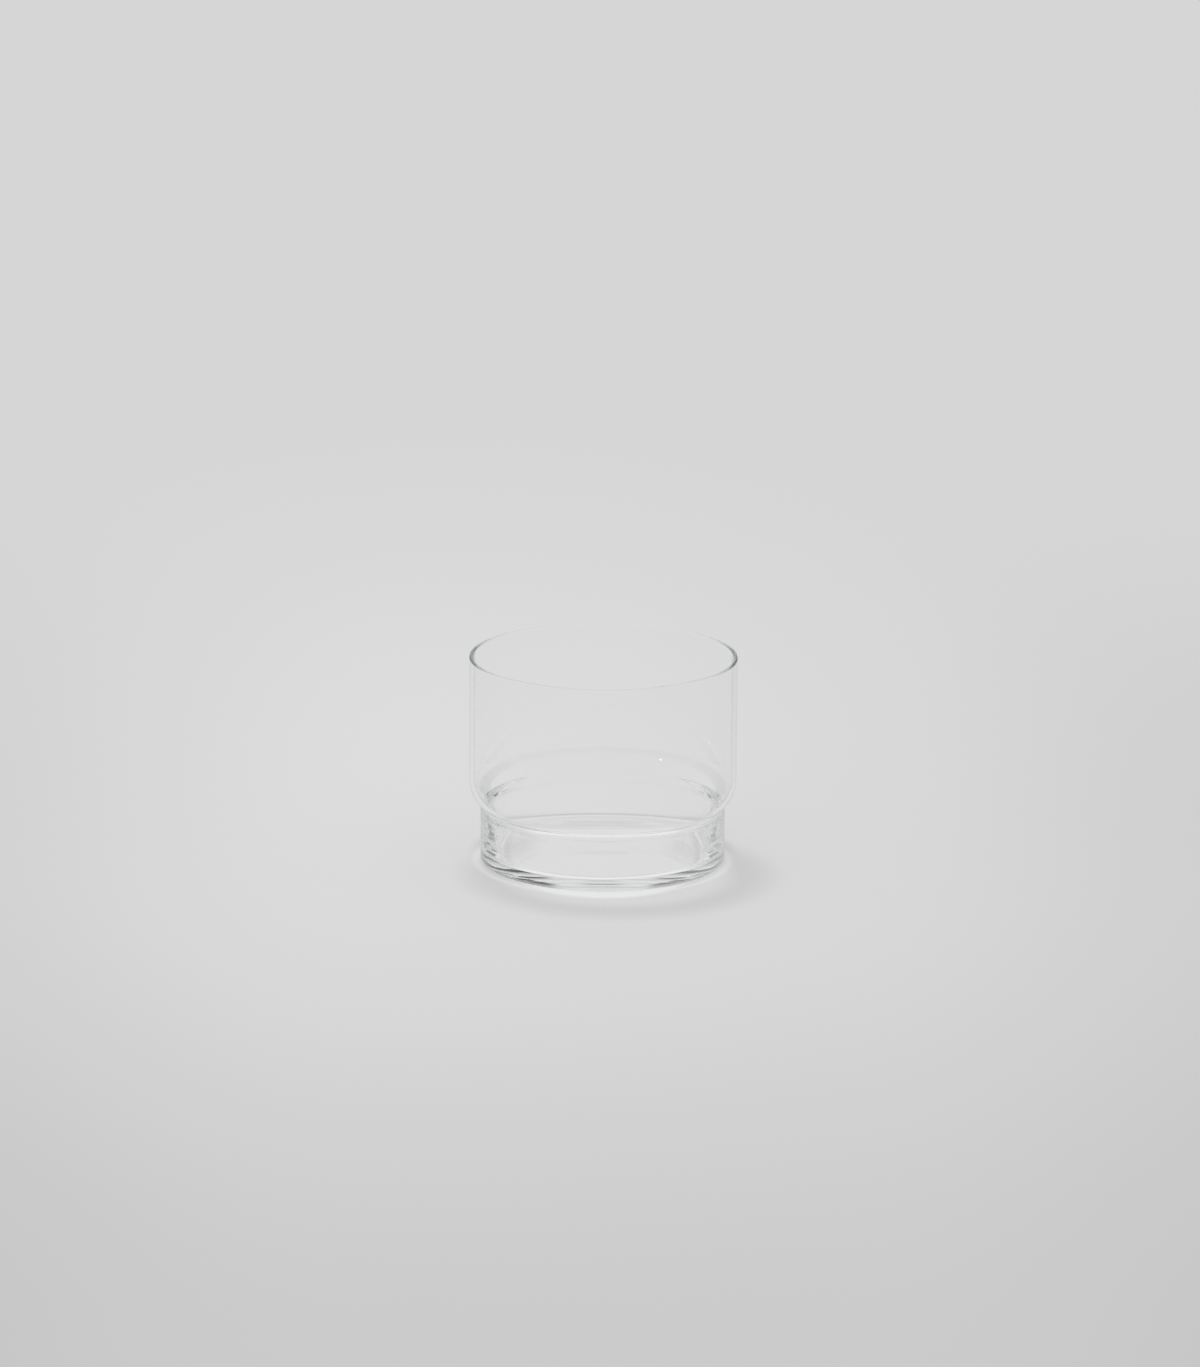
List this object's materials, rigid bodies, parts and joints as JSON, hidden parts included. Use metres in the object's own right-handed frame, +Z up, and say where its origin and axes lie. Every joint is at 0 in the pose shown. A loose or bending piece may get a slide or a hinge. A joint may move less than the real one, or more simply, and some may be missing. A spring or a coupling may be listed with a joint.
{
  "type": "cortado glass",
  "caption": "Clear stepped cortado glass: a straight thin-walled bowl with a round lip on a narrower, thick-walled stacking foot, for a short coffee drink.",
  "frame": {"origin": "middle of the base, on the surface that the glass stands on", "axes": "+Z up along the axis of the glass, towards the mouth; X and Y are alike"},
  "size_m": [0.072, 0.072, 0.0566],
  "materials": {
    "clear_glass": "polished clear glass"
  },
  "bodies": {
    "root": {"tumbler": "clear_glass"}
  },
  "joints": []
}
